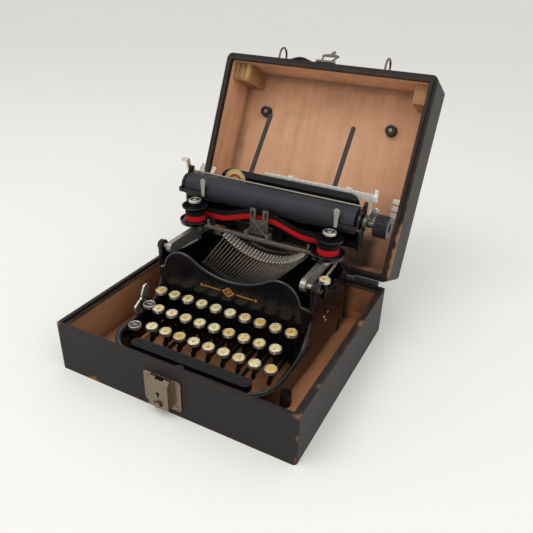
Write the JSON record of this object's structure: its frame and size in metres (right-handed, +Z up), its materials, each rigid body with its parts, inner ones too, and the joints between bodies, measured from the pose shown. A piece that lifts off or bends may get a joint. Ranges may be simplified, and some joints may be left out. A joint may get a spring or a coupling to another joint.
{
  "type": "portable typewriter",
  "caption": "Folding portable typewriter with three key rows, a hinged carriage and ribbon spools, standing in its open carrying case with a hinged lid.",
  "frame": {"origin": "centre of the carrying case's underside", "axes": "+X to the typist's right, +Y to the back, +Z up"},
  "size_m": [0.294, 0.4376, 0.3052],
  "materials": {
    "case_board": "worn black leathercloth over thin board",
    "nickel": "old nickel plate",
    "enamel": "gloss black enamel",
    "frame_enamel": "gloss black enamel on a cast light alloy",
    "rubber": "hard black rubber",
    "steel": "bare steel",
    "key_top": "aged cream disc in a nickel ring",
    "leather": "dark stitched leather",
    "ribbon": "two-colour inked cloth",
    "black_bar": "ribbed black bar"
  },
  "bodies": {
    "base": {"case_tray": "case_board", "tray_hinges": "nickel", "lock_case": "nickel", "base_frame": "frame_enamel", "rubber_feet": "rubber", "key_fulcrum": "steel", "type_segment": "steel", "typebars": "steel"},
    "lid": {"case_lid": "case_board", "lid_fittings": "nickel", "lid_buffers": "rubber", "accessory_clip": "nickel"},
    "hasp": {"lock_hasp": "nickel"},
    "handle": {"carry_handle": "leather"},
    "lock_slider": {"lock_button": "nickel"},
    "fold": {"fold_frame": "nickel", "ribbon": "ribbon"},
    "vibrator": {"ribbon_vibrator": "nickel"},
    "left_spool": {"spool_left": "enamel"},
    "right_spool": {"spool_right": "enamel"},
    "drum": {"mainspring_drum": "nickel"},
    "carriage": {"carriage_frame": "enamel", "paper_table": "enamel", "margin_rail": "nickel"},
    "rests": {"paper_rests": "enamel"},
    "roller": {"platen": "rubber"},
    "line_space": {"line_space_lever": "nickel"},
    "cap_shift": {"cap_shift_key": "enamel"},
    "figure_shift": {"figure_shift_key": "enamel"},
    "space": {"space_bar": "black_bar"},
    "backspace": {"backspace_key": "key_top"},
    "shift_lock": {"shift_lock_lever": "nickel"},
    "key_q": {"key_q": "key_top"},
    "key_w": {"key_w": "key_top"},
    "key_e": {"key_e": "key_top"},
    "key_r": {"key_r": "key_top"},
    "key_t": {"key_t": "key_top"},
    "key_y": {"key_y": "key_top"},
    "key_u": {"key_u": "key_top"},
    "key_i": {"key_i": "key_top"},
    "key_o": {"key_o": "key_top"},
    "key_p": {"key_p": "key_top"},
    "key_a": {"key_a": "key_top"},
    "key_s": {"key_s": "key_top"},
    "key_d": {"key_d": "key_top"},
    "key_f": {"key_f": "key_top"},
    "key_g": {"key_g": "key_top"},
    "key_h": {"key_h": "key_top"},
    "key_j": {"key_j": "key_top"},
    "key_k": {"key_k": "key_top"},
    "key_l": {"key_l": "key_top"},
    "key_z": {"key_z": "key_top"},
    "key_x": {"key_x": "key_top"},
    "key_c": {"key_c": "key_top"},
    "key_v": {"key_v": "key_top"},
    "key_b": {"key_b": "key_top"},
    "key_n": {"key_n": "key_top"},
    "key_m": {"key_m": "key_top"},
    "key_comma": {"key_comma": "key_top"},
    "key_stop": {"key_stop": "key_top"}
  },
  "joints": [
    {"name": "lid_hinge", "type": "hinge", "parent": "base", "child": "lid", "pos_m": [0, 0.131, 0.06], "axis": [1, 0, 0], "range_deg": [0, 30]},
    {"name": "hasp_hinge", "type": "hinge", "parent": "lid", "child": "hasp", "pos_m": [-0.004, 0.24554, 0.29514], "axis": [1, 0, 0], "range_deg": [-5, 138]},
    {"name": "handle_lift", "type": "slide", "parent": "lid", "child": "handle", "axis": [0, 0.4067, 0.9135], "range_m": [0, 0.008]},
    {"name": "lock_slide", "type": "slide", "parent": "base", "child": "lock_slider", "axis": [1, 0, 0], "range_m": [-0.0034, 0.0034]},
    {"name": "key_q_press", "type": "hinge", "parent": "base", "child": "key_q", "pos_m": [0.003, 0.074, 0.03], "axis": [1, 0, 0], "range_deg": [0, 5.86], "stiffness_Nm_per_rad": 0.1, "springref_deg": -14.32},
    {"name": "key_w_press", "type": "hinge", "parent": "base", "child": "key_w", "pos_m": [0.003, 0.074, 0.03], "axis": [1, 0, 0], "range_deg": [0, 5.86], "stiffness_Nm_per_rad": 0.1, "springref_deg": -14.32},
    {"name": "key_e_press", "type": "hinge", "parent": "base", "child": "key_e", "pos_m": [0.003, 0.074, 0.03], "axis": [1, 0, 0], "range_deg": [0, 5.86], "stiffness_Nm_per_rad": 0.1, "springref_deg": -14.32},
    {"name": "key_r_press", "type": "hinge", "parent": "base", "child": "key_r", "pos_m": [0.003, 0.074, 0.03], "axis": [1, 0, 0], "range_deg": [0, 5.86], "stiffness_Nm_per_rad": 0.1, "springref_deg": -14.32},
    {"name": "key_t_press", "type": "hinge", "parent": "base", "child": "key_t", "pos_m": [0.003, 0.074, 0.03], "axis": [1, 0, 0], "range_deg": [0, 5.86], "stiffness_Nm_per_rad": 0.1, "springref_deg": -14.32},
    {"name": "key_y_press", "type": "hinge", "parent": "base", "child": "key_y", "pos_m": [0.003, 0.074, 0.03], "axis": [1, 0, 0], "range_deg": [0, 5.86], "stiffness_Nm_per_rad": 0.1, "springref_deg": -14.32},
    {"name": "key_u_press", "type": "hinge", "parent": "base", "child": "key_u", "pos_m": [0.003, 0.074, 0.03], "axis": [1, 0, 0], "range_deg": [0, 5.86], "stiffness_Nm_per_rad": 0.1, "springref_deg": -14.32},
    {"name": "key_i_press", "type": "hinge", "parent": "base", "child": "key_i", "pos_m": [0.003, 0.074, 0.03], "axis": [1, 0, 0], "range_deg": [0, 5.86], "stiffness_Nm_per_rad": 0.1, "springref_deg": -14.32},
    {"name": "key_o_press", "type": "hinge", "parent": "base", "child": "key_o", "pos_m": [0.003, 0.074, 0.03], "axis": [1, 0, 0], "range_deg": [0, 5.86], "stiffness_Nm_per_rad": 0.1, "springref_deg": -14.32},
    {"name": "key_p_press", "type": "hinge", "parent": "base", "child": "key_p", "pos_m": [0.003, 0.074, 0.03], "axis": [1, 0, 0], "range_deg": [0, 5.86], "stiffness_Nm_per_rad": 0.1, "springref_deg": -14.32},
    {"name": "key_a_press", "type": "hinge", "parent": "base", "child": "key_a", "pos_m": [0.003, 0.074, 0.03], "axis": [1, 0, 0], "range_deg": [0, 4.82], "stiffness_Nm_per_rad": 0.1, "springref_deg": -14.32},
    {"name": "key_s_press", "type": "hinge", "parent": "base", "child": "key_s", "pos_m": [0.003, 0.074, 0.03], "axis": [1, 0, 0], "range_deg": [0, 4.82], "stiffness_Nm_per_rad": 0.1, "springref_deg": -14.32},
    {"name": "key_d_press", "type": "hinge", "parent": "base", "child": "key_d", "pos_m": [0.003, 0.074, 0.03], "axis": [1, 0, 0], "range_deg": [0, 4.82], "stiffness_Nm_per_rad": 0.1, "springref_deg": -14.32},
    {"name": "key_f_press", "type": "hinge", "parent": "base", "child": "key_f", "pos_m": [0.003, 0.074, 0.03], "axis": [1, 0, 0], "range_deg": [0, 4.82], "stiffness_Nm_per_rad": 0.1, "springref_deg": -14.32},
    {"name": "key_g_press", "type": "hinge", "parent": "base", "child": "key_g", "pos_m": [0.003, 0.074, 0.03], "axis": [1, 0, 0], "range_deg": [0, 4.82], "stiffness_Nm_per_rad": 0.1, "springref_deg": -14.32},
    {"name": "key_h_press", "type": "hinge", "parent": "base", "child": "key_h", "pos_m": [0.003, 0.074, 0.03], "axis": [1, 0, 0], "range_deg": [0, 4.82], "stiffness_Nm_per_rad": 0.1, "springref_deg": -14.32},
    {"name": "key_j_press", "type": "hinge", "parent": "base", "child": "key_j", "pos_m": [0.003, 0.074, 0.03], "axis": [1, 0, 0], "range_deg": [0, 4.82], "stiffness_Nm_per_rad": 0.1, "springref_deg": -14.32},
    {"name": "key_k_press", "type": "hinge", "parent": "base", "child": "key_k", "pos_m": [0.003, 0.074, 0.03], "axis": [1, 0, 0], "range_deg": [0, 4.82], "stiffness_Nm_per_rad": 0.1, "springref_deg": -14.32},
    {"name": "key_l_press", "type": "hinge", "parent": "base", "child": "key_l", "pos_m": [0.003, 0.074, 0.03], "axis": [1, 0, 0], "range_deg": [0, 4.82], "stiffness_Nm_per_rad": 0.1, "springref_deg": -14.32},
    {"name": "key_z_press", "type": "hinge", "parent": "base", "child": "key_z", "pos_m": [0.003, 0.074, 0.03], "axis": [1, 0, 0], "range_deg": [0, 4.1], "stiffness_Nm_per_rad": 0.1, "springref_deg": -14.32},
    {"name": "key_x_press", "type": "hinge", "parent": "base", "child": "key_x", "pos_m": [0.003, 0.074, 0.03], "axis": [1, 0, 0], "range_deg": [0, 4.1], "stiffness_Nm_per_rad": 0.1, "springref_deg": -14.32},
    {"name": "key_c_press", "type": "hinge", "parent": "base", "child": "key_c", "pos_m": [0.003, 0.074, 0.03], "axis": [1, 0, 0], "range_deg": [0, 4.1], "stiffness_Nm_per_rad": 0.1, "springref_deg": -14.32},
    {"name": "key_v_press", "type": "hinge", "parent": "base", "child": "key_v", "pos_m": [0.003, 0.074, 0.03], "axis": [1, 0, 0], "range_deg": [0, 4.1], "stiffness_Nm_per_rad": 0.1, "springref_deg": -14.32},
    {"name": "key_b_press", "type": "hinge", "parent": "base", "child": "key_b", "pos_m": [0.003, 0.074, 0.03], "axis": [1, 0, 0], "range_deg": [0, 4.1], "stiffness_Nm_per_rad": 0.1, "springref_deg": -14.32},
    {"name": "key_n_press", "type": "hinge", "parent": "base", "child": "key_n", "pos_m": [0.003, 0.074, 0.03], "axis": [1, 0, 0], "range_deg": [0, 4.1], "stiffness_Nm_per_rad": 0.1, "springref_deg": -14.32},
    {"name": "key_m_press", "type": "hinge", "parent": "base", "child": "key_m", "pos_m": [0.003, 0.074, 0.03], "axis": [1, 0, 0], "range_deg": [0, 4.1], "stiffness_Nm_per_rad": 0.1, "springref_deg": -14.32},
    {"name": "key_comma_press", "type": "hinge", "parent": "base", "child": "key_comma", "pos_m": [0.003, 0.074, 0.03], "axis": [1, 0, 0], "range_deg": [0, 4.1], "stiffness_Nm_per_rad": 0.1, "springref_deg": -14.32},
    {"name": "key_stop_press", "type": "hinge", "parent": "base", "child": "key_stop", "pos_m": [0.003, 0.074, 0.03], "axis": [1, 0, 0], "range_deg": [0, 4.1], "stiffness_Nm_per_rad": 0.1, "springref_deg": -14.32},
    {"name": "cap_shift_press", "type": "hinge", "parent": "base", "child": "cap_shift", "pos_m": [0.003, 0.074, 0.03], "axis": [1, 0, 0], "range_deg": [0, 3.92], "stiffness_Nm_per_rad": 0.1, "springref_deg": -17.19},
    {"name": "figure_shift_press", "type": "hinge", "parent": "base", "child": "figure_shift", "pos_m": [0.003, 0.074, 0.03], "axis": [1, 0, 0], "range_deg": [0, 3.12], "stiffness_Nm_per_rad": 0.12, "springref_deg": -17.19},
    {"name": "space_press", "type": "hinge", "parent": "base", "child": "space", "pos_m": [0.003, 0.074, 0.03], "axis": [1, 0, 0], "range_deg": [0, 2.43], "stiffness_Nm_per_rad": 0.3, "springref_deg": -17.19},
    {"name": "backspace_press", "type": "hinge", "parent": "base", "child": "backspace", "pos_m": [0.105, 0.06, 0.078], "axis": [1, 0, 0], "range_deg": [0, 6.5], "stiffness_Nm_per_rad": 0.05, "springref_deg": -14.32},
    {"name": "shift_lock_turn", "type": "hinge", "parent": "base", "child": "shift_lock", "pos_m": [-0.0995, -0.036, 0.054], "axis": [1, 0, 0], "range_deg": [-15, 15]},
    {"name": "carriage_fold", "type": "hinge", "parent": "base", "child": "fold", "pos_m": [0.003, 0.002, 0.112], "axis": [1, 0, 0], "range_deg": [0, 160]},
    {"name": "vibrator_lift", "type": "slide", "parent": "fold", "child": "vibrator", "axis": [0, 0, 1], "range_m": [0, 0.007]},
    {"name": "left_spool_spin", "type": "hinge", "parent": "fold", "child": "left_spool", "pos_m": [-0.085, 0.057, 0.128], "axis": [0, 0, 1], "continuous": true},
    {"name": "right_spool_spin", "type": "hinge", "parent": "fold", "child": "right_spool", "pos_m": [0.091, 0.057, 0.128], "axis": [0, 0, 1], "continuous": true},
    {"name": "carriage_slide", "type": "slide", "parent": "fold", "child": "carriage", "axis": [1, 0, 0], "range_m": [-0.085, 0.085]},
    {"name": "drum_spin", "type": "hinge", "parent": "fold", "child": "drum", "pos_m": [-0.047, 0.111, 0.113], "axis": [0, 0, 1], "range_deg": [-330, 330]},
    {"name": "platen_turn", "type": "hinge", "parent": "carriage", "child": "roller", "pos_m": [0.003, 0.082, 0.16], "axis": [1, 0, 0], "continuous": true},
    {"name": "line_space_pull", "type": "hinge", "parent": "carriage", "child": "line_space", "pos_m": [-0.1146, 0.092, 0.169], "axis": [1, 0, 0], "range_deg": [0, 25], "stiffness_Nm_per_rad": 0.02, "springref_deg": -17.19},
    {"name": "rests_tilt", "type": "hinge", "parent": "carriage", "child": "rests", "pos_m": [0.003, 0.1055, 0.166], "axis": [1, 0, 0], "range_deg": [-50, 0]}
  ],
  "couplings": [
    {"joint": "right_spool_spin", "follows": "left_spool_spin", "ratio": 1},
    {"joint": "drum_spin", "follows": "carriage_slide", "rad_per_m": 66.667}
  ]
}
